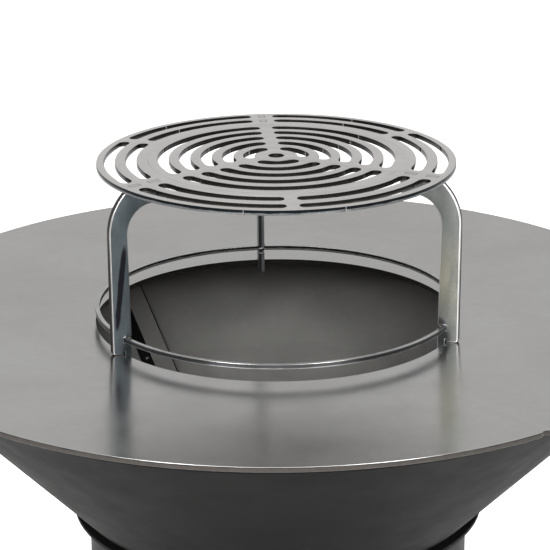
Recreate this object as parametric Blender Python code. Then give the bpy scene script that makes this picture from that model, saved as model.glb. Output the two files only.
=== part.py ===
"""Round fire pit: pedestal, cone-shaped fire bowl, dished griddle plate and a lift-off cooking grate."""

import bmesh
import bpy
from math import asin, atan2, cos, pi, radians, sin, tau
from mathutils import Matrix, Vector

# ---------------------------------------------------------------- driving dimensions (metres)

GAP = 0.0003                 # clearance left between two pieces that touch
STEEL = 0.006                # laser-cut plate stock of the griddle, the grate and its ring
LEG_STEEL = 0.008            # thicker stock of the grate's legs

# Griddle plate: dished towards the fire, so its inner edge is the lowest point of the top face.
PLATE_Z = 0.990              # top face at the edge of the fire hole, above the ground
PLATE_R = 0.500
HOLE_R = 0.2272
PLATE_RISE = 0.0108          # outer rim above the hole's edge
PLATE_CHAMFER = 0.0008
LUG_COUNT = 3
LUG_R = 0.4545               # inner face of the lugs that centre the plate in the bowl's rim
LUG_SIZE = (STEEL, 0.040, 0.0175)

# Grate stand.
GRATE_R = 0.2210
GRATE_UNDER = 0.1995         # underside of the grate above PLATE_Z
SPOKE_ANGLES = (95.3, 215.3, 335.3)
BRIDGE_TURN = 60.0           # the narrow bridges lie half-way between the spokes
INNER_SLOT_R = 0.0262
INNER_SLOT_PITCH = 0.02645
INNER_SLOT_WIDTH = 0.0138
INNER_SLOT_ROWS = 5
OUTER_SLOT_R = 0.17165
OUTER_SLOT_PITCH = 0.0265
OUTER_SLOT_WIDTH = 0.0134
OUTER_SLOT_ROWS = 2
SPOKE_HALF = 0.0078          # half width of a spoke between the inner slots
SPOKE_HALF_OUTER = 0.0142    # and between the outer slots, where a leg is fixed
BRIDGE_HALF = 0.0075
CENTRE_HOLE_R = 0.0095
TAB_MIDDLES = (0.2050, 0.1780)
TAB_LENGTH = 0.0140

# Ring that joins the three legs just above the griddle.
RING_IN = 0.2224
RING_OUT = 0.2276
RING_Z = 0.0150              # underside above PLATE_Z
RING_T = 0.0058

# Leg profile, as radius from the pit's axis and height above PLATE_Z.
LEG_OUT_FOOT = 0.2425
LEG_OUT_TOP = 0.2430
LEG_IN = 0.2188
LEG_IN_FOOT = 0.2166          # the inner edge at the ring and the peg, where a leg is widest
LEG_BEND_Z = 0.1500
LEG_OUT_BEND = 0.0660
LEG_IN_BEND = 0.0340
LEG_ARM_UNDER = 0.1820
LEG_ARM_END = 0.1650
FOOT_IN = 0.2285
FOOT_CORNER = 0.0040
PEG_OUT = 0.2263             # outer side of the locating peg that drops into the hole
PEG_DEPTH = 0.0145
PEG_CHAMFER = 0.0020
PEG_ROOT = 0.0035

# Fire bowl: a 45 degree cone of sheet steel with a flat rim and a flat floor.
SHEET = 0.0030
RIM_IN = 0.4620
RIM_OUT = 0.4880
RIM_T = 0.0050
RIM_TOP = 0.9930
BOWL_R_TOP = 0.4800
BOWL_R_LOW = 0.2500
BOWL_FLOOR_R = 0.2620
BOWL_FLOOR_T = 0.0040
BOWL_FLOOR_Z = 0.7410        # underside of the floor
DRAIN_R = 0.0125
STRAP_ANGLE = 124.2          # bar that covers the bowl's joint on the inside
STRAP_WIDTH = 0.016
STRAP_T = 0.003
STRAP_FROM = 0.0735          # along the wall, from the floor
STRAP_TO = 0.3285
STRAP_SCREWS = 3

# Pedestal.
TOP_R = 0.2500
TOP_T = 0.0060
DRUM_R = 0.2430
BASE_IN = 0.1850
BASE_OUT = 0.2550
BASE_T = 0.0060
BASE_Z = 0.0340              # underside of the base ring

# Fasteners.
BOLT_COUNT = 4
BOLT_CIRCLE_R = 0.1500
BOLT_R = 0.0050
BOLT_HOLE_R = 0.0055
HEX_FLATS = 0.0170
BOLT_HEAD = 0.0064
BOLT_STICKS_OUT = 0.0040      # thread showing past the nut
NUT_T = 0.0080
WASHER_R = 0.0105
WASHER_T = 0.0020

# Levelling feet.
FOOT_COUNT = 4
FOOT_CIRCLE_R = 0.2150
FOOT_FIRST = 45.0
PAD_R = 0.0240
PAD_T = 0.0060
FOOT_DISC_R = 0.0210
FOOT_DISC_T = 0.0080
STUD_TOP = 0.0820

ROUND = 96                   # steps round a large circle
SMALL_ROUND = 24

# ---------------------------------------------------------------- materials


def material(name, colour, metallic, roughness):
    made = bpy.data.materials.new(name)
    made.use_nodes = True
    shader = made.node_tree.nodes["Principled BSDF"]
    shader.inputs["Base Color"].default_value = (*colour, 1.0)
    shader.inputs["Metallic"].default_value = metallic
    shader.inputs["Roughness"].default_value = roughness
    made.diffuse_color = (*colour, 1.0)
    return made


# ---------------------------------------------------------------- shape helpers


def place(name, mesh, made_of, parent=None):
    """Put a mesh in the scene as a named piece of one material, on its group's empty."""
    piece = bpy.data.objects.new(name, mesh)
    bpy.context.collection.objects.link(piece)
    if not mesh.materials:
        mesh.materials.append(made_of)
    if parent is not None:
        piece.parent = parent
        piece.matrix_parent_inverse = parent.matrix_world.inverted()
    return piece


def finish(bm, name, sharp=30.0):
    """Face a closed bmesh outwards and turn it into a mesh with smooth round sides."""
    bmesh.ops.recalc_face_normals(bm, faces=bm.faces)
    mesh = bpy.data.meshes.new(name)
    bm.to_mesh(mesh)
    bm.free()
    mesh.shade_smooth()
    mesh.set_sharp_from_angle(angle=radians(sharp))
    return mesh


def turned(name, profile, steps=ROUND):
    """Spin a closed outline of (radius, height) points round the Z axis."""
    bm = bmesh.new()
    points = [bm.verts.new((r, 0.0, z)) for r, z in profile]
    edges = []
    for a, b in zip(points, points[1:] + points[:1]):
        if a.co.x > 0.0 or b.co.x > 0.0:
            edges.append(bm.edges.new((a, b)))
    bmesh.ops.spin(
        bm,
        geom=points + edges,
        cent=(0.0, 0.0, 0.0),
        axis=(0.0, 0.0, 1.0),
        dvec=(0.0, 0.0, 0.0),
        angle=tau,
        steps=steps,
        use_merge=False,
        use_normal_flip=False,
        use_duplicate=False,
    )
    bmesh.ops.remove_doubles(bm, verts=bm.verts, dist=0.00001)
    return finish(bm, name)


def cut_plate(name, outlines, low, high):
    """A flat plate between two heights: the first outline is its edge, the others are holes."""
    bm = bmesh.new()
    edges = []
    for outline in outlines:
        points = [bm.verts.new((x, y, low)) for x, y in outline]
        for a, b in zip(points, points[1:] + points[:1]):
            edges.append(bm.edges.new((a, b)))
    bmesh.ops.triangle_fill(bm, use_beauty=True, use_dissolve=False, edges=edges)
    grown = bmesh.ops.extrude_face_region(bm, geom=bm.faces[:], use_keep_orig=True)
    top = [item for item in grown["geom"] if isinstance(item, bmesh.types.BMVert)]
    bmesh.ops.translate(bm, verts=top, vec=(0.0, 0.0, high - low))
    return finish(bm, name)


def circle(radius, steps, centre=(0.0, 0.0), first=0.0):
    turn = [first + tau * i / steps for i in range(steps)]
    return [(centre[0] + radius * cos(a), centre[1] + radius * sin(a)) for a in turn]


def arc(centre, radius, start, end, steps):
    """Points along an arc, both ends included; angles in degrees."""
    turn = [radians(start + (end - start) * i / steps) for i in range(steps + 1)]
    return [(centre[0] + radius * cos(a), centre[1] + radius * sin(a)) for a in turn]


def polar(radius, angle):
    return radius * cos(radians(angle)), radius * sin(radians(angle))


def ring_angles(count, first=0.0):
    return [first + 360.0 * i / count for i in range(count)]


def plate_top(radius):
    """Height of the griddle's dished top face at a radius."""
    return PLATE_Z + PLATE_RISE * (radius - HOLE_R) / (PLATE_R - HOLE_R)


# ---------------------------------------------------------------- griddle plate


def griddle_plate():
    rim = plate_top(PLATE_R)
    c = PLATE_CHAMFER
    profile = [
        (PLATE_R, rim - c),
        (PLATE_R, rim - STEEL),
        (HOLE_R, PLATE_Z - STEEL),
        (HOLE_R, PLATE_Z - c * 0.5),
        (HOLE_R + c * 0.5, PLATE_Z),
        (PLATE_R - c, rim),
    ]
    return turned("griddle_plate", profile, steps=120)


def block(name, size, bevel=0.0):
    """A rectangular bar with its own centre at the origin."""
    bm = bmesh.new()
    bmesh.ops.create_cube(bm, size=1.0)
    bmesh.ops.scale(bm, vec=size, verts=bm.verts)
    if bevel:
        bmesh.ops.bevel(bm, geom=bm.edges[:], offset=bevel, segments=1, affect="EDGES")
    return finish(bm, name)


# ---------------------------------------------------------------- grate stand


def slot_outline(inner, width, start, end, near_start, near_end):
    """A curved slot with round ends between two radial bars.

    start and end are the angles of the bars' centre lines, near_start and near_end their half
    widths at the slot's tips.
    """
    half = width / 2
    middle = inner + half
    first = start + asin((near_start + half) / middle) * 180 / pi
    last = end - asin((near_end + half) / middle) * 180 / pi
    steps = max(6, round((last - first) / 6.0))
    points = arc((0.0, 0.0), middle + half, first, last, steps)
    points += arc(polar(middle, last), half, last, last + 180, 5)[1:-1]
    points += arc((0.0, 0.0), middle - half, last, first, steps)
    points += arc(polar(middle, first), half, first - 180, first, 5)[1:-1]
    return points


def tab_outline(middle, angle, clearance):
    """The rectangle where a leg's tab comes up through the grate."""
    along = TAB_LENGTH / 2 + clearance
    across = LEG_STEEL / 2 + clearance
    turn = Matrix.Rotation(radians(angle), 2)
    corners = ((-along, -across), (along, -across), (along, across), (-along, across))
    return [tuple(turn @ Vector((middle + u, v))) for u, v in corners]


def cooking_grate():
    outlines = [circle(GRATE_R, ROUND), circle(CENTRE_HOLE_R, 16)]
    for spoke in SPOKE_ANGLES:
        after = spoke + 120.0
        for row in range(INNER_SLOT_ROWS):
            inner = INNER_SLOT_R + row * INNER_SLOT_PITCH
            outlines.append(slot_outline(inner, INNER_SLOT_WIDTH, spoke, after, SPOKE_HALF, SPOKE_HALF))
        bridge = spoke + BRIDGE_TURN
        for row in range(OUTER_SLOT_ROWS):
            inner = OUTER_SLOT_R + row * OUTER_SLOT_PITCH
            wide = (inner, OUTER_SLOT_WIDTH)
            outlines.append(slot_outline(*wide, spoke, bridge, SPOKE_HALF_OUTER, BRIDGE_HALF))
            outlines.append(slot_outline(*wide, bridge, after, BRIDGE_HALF, SPOKE_HALF_OUTER))
        for middle in TAB_MIDDLES:
            outlines.append(tab_outline(middle, spoke, GAP))
    low = PLATE_Z + GRATE_UNDER
    return cut_plate("cooking_grate", outlines, low, low + STEEL)


def leg_profile():
    """Outline of a leg in its radial plane, as (radius, height above PLATE_Z)."""
    arm_top = GRATE_UNDER - GAP
    foot_z = plate_top(LEG_OUT_FOOT) - PLATE_Z + GAP
    foot_in_z = plate_top(FOOT_IN) - PLATE_Z + GAP
    outer_centre = (LEG_OUT_TOP - LEG_OUT_BEND, LEG_BEND_Z)
    inner_centre = (LEG_IN - LEG_IN_BEND, LEG_ARM_UNDER - LEG_IN_BEND)
    meets_grate = asin((arm_top - LEG_BEND_Z) / LEG_OUT_BEND) * 180 / pi
    corner = (LEG_OUT_FOOT - FOOT_CORNER, foot_z + FOOT_CORNER)
    points = arc(corner, FOOT_CORNER, -90, 0, 4)
    points += arc(outer_centre, LEG_OUT_BEND, 0, meets_grate, 10)
    for middle in TAB_MIDDLES:
        near = middle + TAB_LENGTH / 2
        far = middle - TAB_LENGTH / 2
        points += [(near, arm_top), (near, GRATE_UNDER + STEEL), (far, GRATE_UNDER + STEEL), (far, arm_top)]
    points += [(LEG_ARM_END, arm_top), (LEG_ARM_END, LEG_ARM_UNDER)]
    points += arc(inner_centre, LEG_IN_BEND, 90, 0, 10)
    notch = RING_OUT + GAP
    points += [(LEG_IN_FOOT, RING_Z + RING_T + GAP), (notch, RING_Z + RING_T + GAP)]
    points += [(notch, RING_Z - GAP), (LEG_IN_FOOT, RING_Z - GAP)]
    points += [(LEG_IN_FOOT, PEG_CHAMFER - PEG_DEPTH), (LEG_IN_FOOT + PEG_CHAMFER, -PEG_DEPTH)]
    points += [(PEG_OUT - PEG_CHAMFER, -PEG_DEPTH), (PEG_OUT, PEG_CHAMFER - PEG_DEPTH)]
    points += [(PEG_OUT, PEG_ROOT), (FOOT_IN, PEG_ROOT), (FOOT_IN, foot_in_z)]
    return points


def leg_mesh():
    """One flat leg standing in the XZ plane, its outer edge towards +X."""
    mesh = cut_plate("leg", [leg_profile()], -LEG_STEEL / 2, LEG_STEEL / 2)
    mesh.transform(Matrix.Rotation(pi / 2, 4, "X"))
    return mesh


def stand_ring():
    low = PLATE_Z + RING_Z
    high = low + RING_T
    profile = [(RING_OUT, high), (RING_OUT, low), (RING_IN, low), (RING_IN, high)]
    return turned("stand_ring", profile)


# ---------------------------------------------------------------- fire bowl


def bowl_slope():
    """Angle of the bowl's wall above the horizontal, in radians."""
    low, high = shell_heights()
    return atan2(high - low, BOWL_R_TOP - BOWL_R_LOW)


def shell_heights():
    return BOWL_FLOOR_Z + BOWL_FLOOR_T + GAP, RIM_TOP - RIM_T - GAP


def bowl_shell():
    low, high = shell_heights()
    wall = SHEET / sin(bowl_slope())
    profile = [
        (BOWL_R_TOP, high),
        (BOWL_R_LOW, low),
        (BOWL_R_LOW - wall, low),
        (BOWL_R_TOP - wall, high),
    ]
    return turned("bowl_shell", profile)


def bowl_rim():
    low = RIM_TOP - RIM_T
    profile = [(RIM_OUT, RIM_TOP), (RIM_OUT, low), (RIM_IN, low), (RIM_IN, RIM_TOP)]
    return turned("bowl_rim", profile)


def drilled_disc(name, radius, low, thickness, drain):
    """A round plate with the four bowl bolts' holes and a drain hole in the middle."""
    outlines = [circle(radius, ROUND), circle(drain, SMALL_ROUND)]
    for angle in ring_angles(BOLT_COUNT, 45.0):
        outlines.append(circle(BOLT_HOLE_R, 16, polar(BOLT_CIRCLE_R, angle)))
    return cut_plate(name, outlines, low, low + thickness)


def wall_frame(along, angle):
    """Frame on the bowl's inner wall: X up the wall, Z out of it into the bowl."""
    low, _ = shell_heights()
    slope = bowl_slope()
    wall = SHEET / sin(slope)
    up = Vector((cos(slope), 0.0, sin(slope)))
    out = Vector((-sin(slope), 0.0, cos(slope)))
    origin = Vector((BOWL_R_LOW - wall, 0.0, low)) + up * along
    side = out.cross(up)
    frame = Matrix((up, side, out)).transposed().to_4x4()
    frame.translation = origin
    return Matrix.Rotation(radians(angle), 4, "Z") @ frame


def seam_strap():
    """Flat bar up the inside of the bowl; its flat back clears the curved wall."""
    length = STRAP_TO - STRAP_FROM
    mesh = block("seam_strap", (length, STRAP_WIDTH, STRAP_T), bevel=0.0004)
    lift = 2 * GAP + STRAP_T / 2
    middle = (STRAP_FROM + STRAP_TO) / 2
    mesh.transform(wall_frame(middle, STRAP_ANGLE) @ Matrix.Translation((0.0, 0.0, lift)))
    return mesh


def strap_screw():
    """Low round head, standing on the strap."""
    profile = [(0.0, 0.0020), (0.0018, 0.0018), (0.0030, 0.0009), (0.0032, 0.0), (0.0, 0.0)]
    return turned("strap_screw", profile, steps=SMALL_ROUND)


# ---------------------------------------------------------------- fasteners


def hexagon(flats):
    return circle(flats / 2 / cos(pi / 6), 6)


def hex_bolt():
    """Bolt with its head's underside at the origin and its shank down to the nut's far side."""
    shank = -(WASHER_T + BOWL_FLOOR_T + TOP_T + NUT_T + 4 * GAP + BOLT_STICKS_OUT)
    bm = bmesh.new()
    rims = []
    for outline in (hexagon(HEX_FLATS), circle(BOLT_R, 16)):
        points = [bm.verts.new((x, y, 0.0)) for x, y in outline]
        rims.append([bm.edges.new(pair) for pair in zip(points, points[1:] + points[:1])])
    bmesh.ops.triangle_fill(bm, use_beauty=True, use_dissolve=False, edges=rims[0] + rims[1])
    for rim, reach in zip(rims, (BOLT_HEAD, shank)):
        grown = bmesh.ops.extrude_edge_only(bm, edges=rim)["geom"]
        end = [item for item in grown if isinstance(item, bmesh.types.BMVert)]
        bmesh.ops.translate(bm, verts=end, vec=(0.0, 0.0, reach))
        last = [item for item in grown if isinstance(item, bmesh.types.BMEdge)]
        last = [edge for edge in last if all(vertex in end for vertex in edge.verts)]
        bmesh.ops.contextual_create(bm, geom=last)
    return finish(bm, "hex_bolt")


def hex_nut():
    """Nut standing on the origin, with a plain bore."""
    outlines = [hexagon(HEX_FLATS), circle(BOLT_HOLE_R, 16)]
    return cut_plate("hex_nut", outlines, 0.0, NUT_T)


def washer():
    outlines = [circle(WASHER_R, SMALL_ROUND), circle(BOLT_HOLE_R, 16)]
    return cut_plate("washer", outlines, 0.0, WASHER_T)


# ---------------------------------------------------------------- pedestal and feet


def pedestal_shell():
    low = BASE_Z + BASE_T + GAP
    high = BOWL_FLOOR_Z - GAP - TOP_T - GAP
    inner = DRUM_R - SHEET
    profile = [(DRUM_R, high), (DRUM_R, low), (inner, low), (inner, high)]
    return turned("pedestal_shell", profile)


def base_ring():
    outlines = [circle(BASE_OUT, ROUND), circle(BASE_IN, ROUND)]
    for angle in ring_angles(FOOT_COUNT, FOOT_FIRST):
        outlines.append(circle(BOLT_HOLE_R, 16, polar(FOOT_CIRCLE_R, angle)))
    return cut_plate("base_ring", outlines, BASE_Z, BASE_Z + BASE_T)


def levelling_foot():
    """Threaded stud with a pressed disc, standing on its pad."""
    disc = PAD_T + GAP
    neck = disc + FOOT_DISC_T
    profile = [
        (0.0, STUD_TOP),
        (BOLT_R - 0.0008, STUD_TOP),
        (BOLT_R, STUD_TOP - 0.0008),
        (BOLT_R, neck + 0.003),
        (BOLT_R + 0.004, neck),
        (FOOT_DISC_R - 0.002, disc + 0.005),
        (FOOT_DISC_R, disc + 0.003),
        (FOOT_DISC_R, disc),
        (0.0, disc),
    ]
    return turned("levelling_foot", profile, steps=SMALL_ROUND)


def foot_pad():
    profile = [
        (0.0, PAD_T),
        (PAD_R - 0.001, PAD_T),
        (PAD_R, PAD_T - 0.001),
        (PAD_R, 0.001),
        (PAD_R - 0.001, 0.0),
        (0.0, 0.0),
    ]
    return turned("foot_pad", profile, steps=SMALL_ROUND)


# ---------------------------------------------------------------- assembly


def group(name, location=(0.0, 0.0, 0.0)):
    """An empty that carries the pieces of one rigid group."""
    empty = bpy.data.objects.new(name, None)
    bpy.context.collection.objects.link(empty)
    empty.location = location
    bpy.context.view_layer.update()
    return empty


def stand_leg(mesh, name, angle, made_of, parent):
    leg = place(name, mesh, made_of, parent)
    leg.location = (0.0, 0.0, 0.0)
    leg.rotation_euler = (0.0, 0.0, radians(angle))
    return leg


def around(mesh, stem, count, radius, first, height, made_of, parent):
    """Copies of one mesh on a circle, each its own object, numbered from 1."""
    for number, angle in enumerate(ring_angles(count, first), start=1):
        x, y = polar(radius, angle)
        piece = place(f"{stem}_{number}", mesh, made_of, parent)
        piece.location = (x, y, height)
        piece.rotation_euler = (0.0, 0.0, radians(angle))


def build():
    for old in list(bpy.data.objects):
        bpy.data.objects.remove(old)

    bright = material("rolled_steel", (0.44, 0.43, 0.42), 1.0, 0.32)
    cut = material("cut_steel", (0.30, 0.32, 0.33), 1.0, 0.35)
    black = material("bowl_black", (0.035, 0.034, 0.032), 0.4, 0.45)
    coat = material("pedestal_black", (0.030, 0.030, 0.031), 0.2, 0.55)
    zinc = material("zinc_fastener", (0.55, 0.55, 0.56), 1.0, 0.30)
    rubber = material("pad_rubber", (0.02, 0.02, 0.02), 0.0, 0.80)

    base = group("base_group")
    griddle = group("griddle_group")
    stand = group("stand_group")

    place("griddle_plate", griddle_plate(), bright, griddle)
    lug_mesh = block("plate_lug", LUG_SIZE, bevel=0.0005)
    lug_top = plate_top(LUG_R) - STEEL - GAP
    lug_place = (LUG_R + LUG_SIZE[0] / 2, lug_top - LUG_SIZE[2] / 2)
    around(lug_mesh, "plate_lug", LUG_COUNT, lug_place[0], 90.0, lug_place[1], cut, griddle)

    place("cooking_grate", cooking_grate(), bright, stand)
    place("stand_ring", stand_ring(), cut, stand)
    leg = leg_mesh()
    leg.transform(Matrix.Translation((0.0, 0.0, PLATE_Z)))
    for name, angle in zip(("leg_back", "leg_left", "leg_right"), SPOKE_ANGLES):
        stand_leg(leg, name, angle, cut, stand)

    place("bowl_shell", bowl_shell(), black, base)
    place("bowl_rim", bowl_rim(), black, base)
    floor = drilled_disc("bowl_floor", BOWL_FLOOR_R, BOWL_FLOOR_Z, BOWL_FLOOR_T, DRAIN_R)
    place("bowl_floor", floor, black, base)
    place("seam_strap", seam_strap(), black, base)
    screw = strap_screw()
    pitch = (STRAP_TO - STRAP_FROM) / STRAP_SCREWS
    for number in range(STRAP_SCREWS):
        along = STRAP_FROM + pitch * (number + 0.5)
        piece = place(f"strap_screw_{number + 1}", screw, zinc, base)
        lift = Matrix.Translation((0.0, 0.0, STRAP_T + 3 * GAP))
        piece.matrix_world = wall_frame(along, STRAP_ANGLE) @ lift

    top_low = BOWL_FLOOR_Z - GAP - TOP_T
    place("pedestal_top", drilled_disc("pedestal_top", TOP_R, top_low, TOP_T, DRAIN_R), coat, base)
    place("pedestal_shell", pedestal_shell(), coat, base)
    place("base_ring", base_ring(), coat, base)

    floor_top = BOWL_FLOOR_Z + BOWL_FLOOR_T
    bolts = (BOLT_COUNT, BOLT_CIRCLE_R, 45.0)
    around(washer(), "bowl_washer", *bolts, floor_top + GAP, zinc, base)
    around(hex_bolt(), "bowl_bolt", *bolts, floor_top + WASHER_T + 2 * GAP, zinc, base)
    around(hex_nut(), "bowl_nut", *bolts, top_low - GAP - NUT_T, zinc, base)

    feet = (FOOT_COUNT, FOOT_CIRCLE_R, FOOT_FIRST)
    around(hex_nut(), "foot_nut", *feet, BASE_Z + BASE_T + GAP, zinc, base)
    stud = levelling_foot()
    pad = foot_pad()
    for number, angle in enumerate(ring_angles(FOOT_COUNT, FOOT_FIRST), start=1):
        x, y = polar(FOOT_CIRCLE_R, angle)
        axis = group(f"foot_axis_{number}", (x, y, 0.0))
        for name, mesh, made_of in (("levelling_foot", stud, zinc), ("foot_pad", pad, rubber)):
            piece = place(f"{name}_{number}", mesh, made_of, axis)
            piece.matrix_parent_inverse = Matrix.Identity(4)


build()
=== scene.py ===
from math import asin, atan2, cos, hypot, pi, radians, sin, tau

import bmesh
import bpy
from mathutils import Matrix, Vector


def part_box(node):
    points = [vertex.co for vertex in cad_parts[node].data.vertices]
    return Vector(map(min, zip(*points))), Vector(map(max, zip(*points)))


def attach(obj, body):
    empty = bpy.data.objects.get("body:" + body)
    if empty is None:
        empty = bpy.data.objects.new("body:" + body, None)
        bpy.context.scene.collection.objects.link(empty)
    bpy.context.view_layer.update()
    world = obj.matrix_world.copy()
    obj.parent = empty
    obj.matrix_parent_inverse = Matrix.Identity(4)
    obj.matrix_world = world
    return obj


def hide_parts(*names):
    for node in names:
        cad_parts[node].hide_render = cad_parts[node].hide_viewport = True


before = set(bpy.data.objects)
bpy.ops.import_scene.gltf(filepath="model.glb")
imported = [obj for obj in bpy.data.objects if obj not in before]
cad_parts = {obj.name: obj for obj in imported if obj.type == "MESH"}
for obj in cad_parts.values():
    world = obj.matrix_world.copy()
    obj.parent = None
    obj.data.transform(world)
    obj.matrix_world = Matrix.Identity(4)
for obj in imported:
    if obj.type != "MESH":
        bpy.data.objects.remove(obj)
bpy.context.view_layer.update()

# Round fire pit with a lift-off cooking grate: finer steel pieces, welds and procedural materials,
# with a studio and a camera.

# ---------------------------------------------------------------- sizes read from the frame (metres)


def node_radii(node):
    """Smallest and largest distance of a CAD node's corners from the pit's axis."""
    reach = [hypot(v.co.x, v.co.y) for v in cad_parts[node].data.vertices]
    return min(reach), max(reach)


def node_points(node):
    """A turned node's outline: its distinct (radius, height) corners."""
    found = {}
    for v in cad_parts[node].data.vertices:
        point = (hypot(v.co.x, v.co.y), v.co.z)
        found[(round(point[0], 5), round(point[1], 5))] = point
    return list(found.values())


def heights(node):
    low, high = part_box(node)
    return low.z, high.z


HOLE_R, PLATE_R = node_radii("griddle_plate")
PLATE_Z = max(z for r, z in node_points("griddle_plate") if r < HOLE_R + 0.001)
PLATE_LOW, PLATE_RIM_Z = heights("griddle_plate")
STEEL = PLATE_Z - PLATE_LOW                  # thickness of the plate, grate and ring
LEG_STEEL = 0.008            # thickness of a leg, and of its tabs
GRATE_R = node_radii("cooking_grate")[1]
GRATE_LOW, GRATE_TOP = heights("cooking_grate")
RING_IN, RING_OUT = node_radii("stand_ring")
RING_LOW, RING_TOP = heights("stand_ring")
# Directions of the legs, in degrees.
LEG_ANGLES = {"leg_back": 95.3, "leg_left": 215.3, "leg_right": 335.3}
BOWL_POINTS = node_points("bowl_shell")
BOWL_LOW, BOWL_TOP = heights("bowl_shell")
BOWL_IN_LOW = min(r for r, z in BOWL_POINTS)
BOWL_OUT_TOP = max(r for r, z in BOWL_POINTS)
BOWL_IN_TOP = min(r for r, z in BOWL_POINTS if z > BOWL_TOP - 0.001)
BOWL_OUT_LOW = max(r for r, z in BOWL_POINTS if z < BOWL_LOW + 0.001)

# ---------------------------------------------------------------- sizes of the fine detail (metres)

EDGE = 0.00035               # rounding of a laser-cut edge
SOFT_EDGE = 0.0008           # rounding of a dressed edge
SHARP = radians(40.0)        # edges between faces that turn by more than this are kept crisp
PLATE_STEPS = 960            # corners round the plate
ROUND_STEPS = 300            # and round the grate, ring and bowl

SLOT_INNER_R = 0.0262        # inner edge of the innermost row of slots
SLOT_INNER_PITCH = 0.02645
SLOT_INNER_WIDTH = 0.0138
SLOT_INNER_ROWS = 5
SLOT_OUTER_R = 0.17165       # the outer rows have one more bar, halfway between the legs
SLOT_OUTER_PITCH = 0.0265
SLOT_OUTER_WIDTH = 0.0134
SLOT_OUTER_ROWS = 2
SLOT_STEP = 2.2              # degrees between the corners along a slot
SLOT_END_STEPS = 12
SPOKE_HALF = 0.0078          # half the width of the bar over a leg
SPOKE_HALF_OUTER = 0.0142    # and of its wider part between the outer rows
BRIDGE_HALF = 0.0075         # half the width of the bar halfway between two legs
BRIDGE_TURN = 60.0
CENTRE_HOLE_R = 0.0095
TAB_MIDDLES = (0.2050, 0.1780)
TAB_LENGTH = 0.0140
TAB_GAP = 0.00012            # between a tab and its slot in the grate
TAB_EDGE = 0.0001            # rounding of a tab's edges
BOW = 0.0037                 # how far welding has drawn the middle of the grate up
SCRIBE_R = 0.158             # faint circle scribed on the grate
NICK_DEPTH = 0.0005          # mark left where the laser entered an outline
NICK_HALF = 0.00055
ENTRY_WIDTH = 0.0008         # only the walls of the laser's entry marks are narrower
RIM_NICKS = (260.1, 291.0)   # directions of the entry marks on the grate's rim
INNER_ENTRY = 0.38           # how far along an innermost slot the laser entered, as a share of it
INNER_ENTRY_STEP = 0.05      # and how much further in each row outside it
OUTER_ENTRIES = (0.62, 0.45)  # the same for the two slots of an outer row between two legs
SCALLOPS = 4                 # small scallops along each edge at a slot's end
SCALLOP_STEPS = 3
SCALLOP_PITCH = 0.0033
SCALLOP_DEPTH = 0.0007

# A leg's outline: distances from the axis, and heights above the plate's inner edge.
LEG_EDGE = 0.0010            # rounding of its long edges
LEG_OUT_FOOT = 0.2425
LEG_OUT_TOP = 0.2430
LEG_IN = 0.2188
LEG_IN_FOOT = 0.2166         # a leg is widest at the ring and the peg
LEG_BEND_Z = 0.1500          # where its outer edge starts to bend
LEG_OUT_BEND = 0.0660        # radius of its outer bend
LEG_IN_BEND = 0.0340         # radius of its inner bend
LEG_BEND_STEPS = 28
LEG_ARM_UNDER = 0.1820       # underside of the arm below the grate
LEG_ARM_END = 0.1650
FOOT_IN = 0.2285             # the foot stands on the plate from here outward
FOOT_CORNER = 0.0040
PEG_OUT = 0.2263             # outer side of the peg that hangs in the hole
PEG_DEPTH = 0.0145
PEG_CHAMFER = 0.0020
PEG_ROOT = 0.0035            # top of the narrow gap between peg and foot
GAP = 0.0003                 # between a leg and what it stands against

# Rounding of the ring's outer top, outer low, inner low and inner top edges.
RING_EDGES = (0.0008, 0.0006, EDGE, EDGE)
RING_EDGE_STEPS = 6
BEAD = 0.0011                # radius of the weld bead over the ring, beside a leg
BEAD_ARCH = 0.0012           # how high it arches
BEAD_IN = 0.0003             # how far it reaches past the ring's inner wall
BEAD_OUT = 0.0005            # and past its outer wall
FILL = 0.0030                # radius of the weld that fills a leg's notch inside the ring
FILL_INSET = 0.0028          # and how far inside the ring its middle lies
TACK = 0.0009                # radius of the small bead across a leg's inner edge
TACK_DROP = 0.0024           # and how far below the ring it lies
CROSS_SHORT = 0.0002         # how far the last two stop from a leg's faces
BEAD_STEPS = 24
BEAD_RIPPLES = 7
CROSS_STEPS = 16
CROSS_RIPPLES = 5
WELD_SIDES = 10              # corners round a weld

# ---------------------------------------------------------------- outlines


def arc(centre, radius, start, end, steps):
    """Points along an arc, both ends included; angles in degrees."""
    turn = [radians(start + (end - start) * i / steps) for i in range(steps + 1)]
    return [(centre[0] + radius * cos(a), centre[1] + radius * sin(a)) for a in turn]


def circle(radius, steps, centre=(0.0, 0.0)):
    return arc(centre, radius, 0.0, 360.0, steps)[:-1]


def polar(radius, angle):
    return radius * cos(radians(angle)), radius * sin(radians(angle))


def signed_area(outline):
    pairs = zip(outline, outline[1:] + outline[:1])
    return sum(a[0] * b[1] - b[0] * a[1] for a, b in pairs) / 2


def offset(outline, amount):
    """The outline moved along its outward normals by amount, corner by corner."""
    side = 1.0 if signed_area(outline) > 0 else -1.0
    moved = []
    count = len(outline)
    for i, here in enumerate(outline):
        before = Vector(here) - Vector(outline[i - 1])
        after = Vector(outline[(i + 1) % count]) - Vector(here)
        before.normalize()
        after.normalize()
        first = Vector((before.y, -before.x))
        second = Vector((after.y, -after.x))
        normal = first + second
        normal.normalize()
        reach = amount * side / max(0.5, normal.dot(first))
        moved.append((here[0] + normal.x * reach, here[1] + normal.y * reach))
    return moved


def nicked_arc(radius, start, end, nicks, inward, steps):
    """An arc about the axis, cut inward by small laser entry marks at the angles in nicks."""
    half = NICK_HALF / radius * 180 / pi
    points = []
    here = start
    for nick in (*nicks, None):
        there = end if nick is None else nick - half
        share = max(2, round(steps * (there - here) / (end - start)))
        points += arc((0.0, 0.0), radius, here, there, share)
        if nick is not None:
            points.append(polar(radius - inward, nick))
            here = nick + half
    return points


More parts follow.
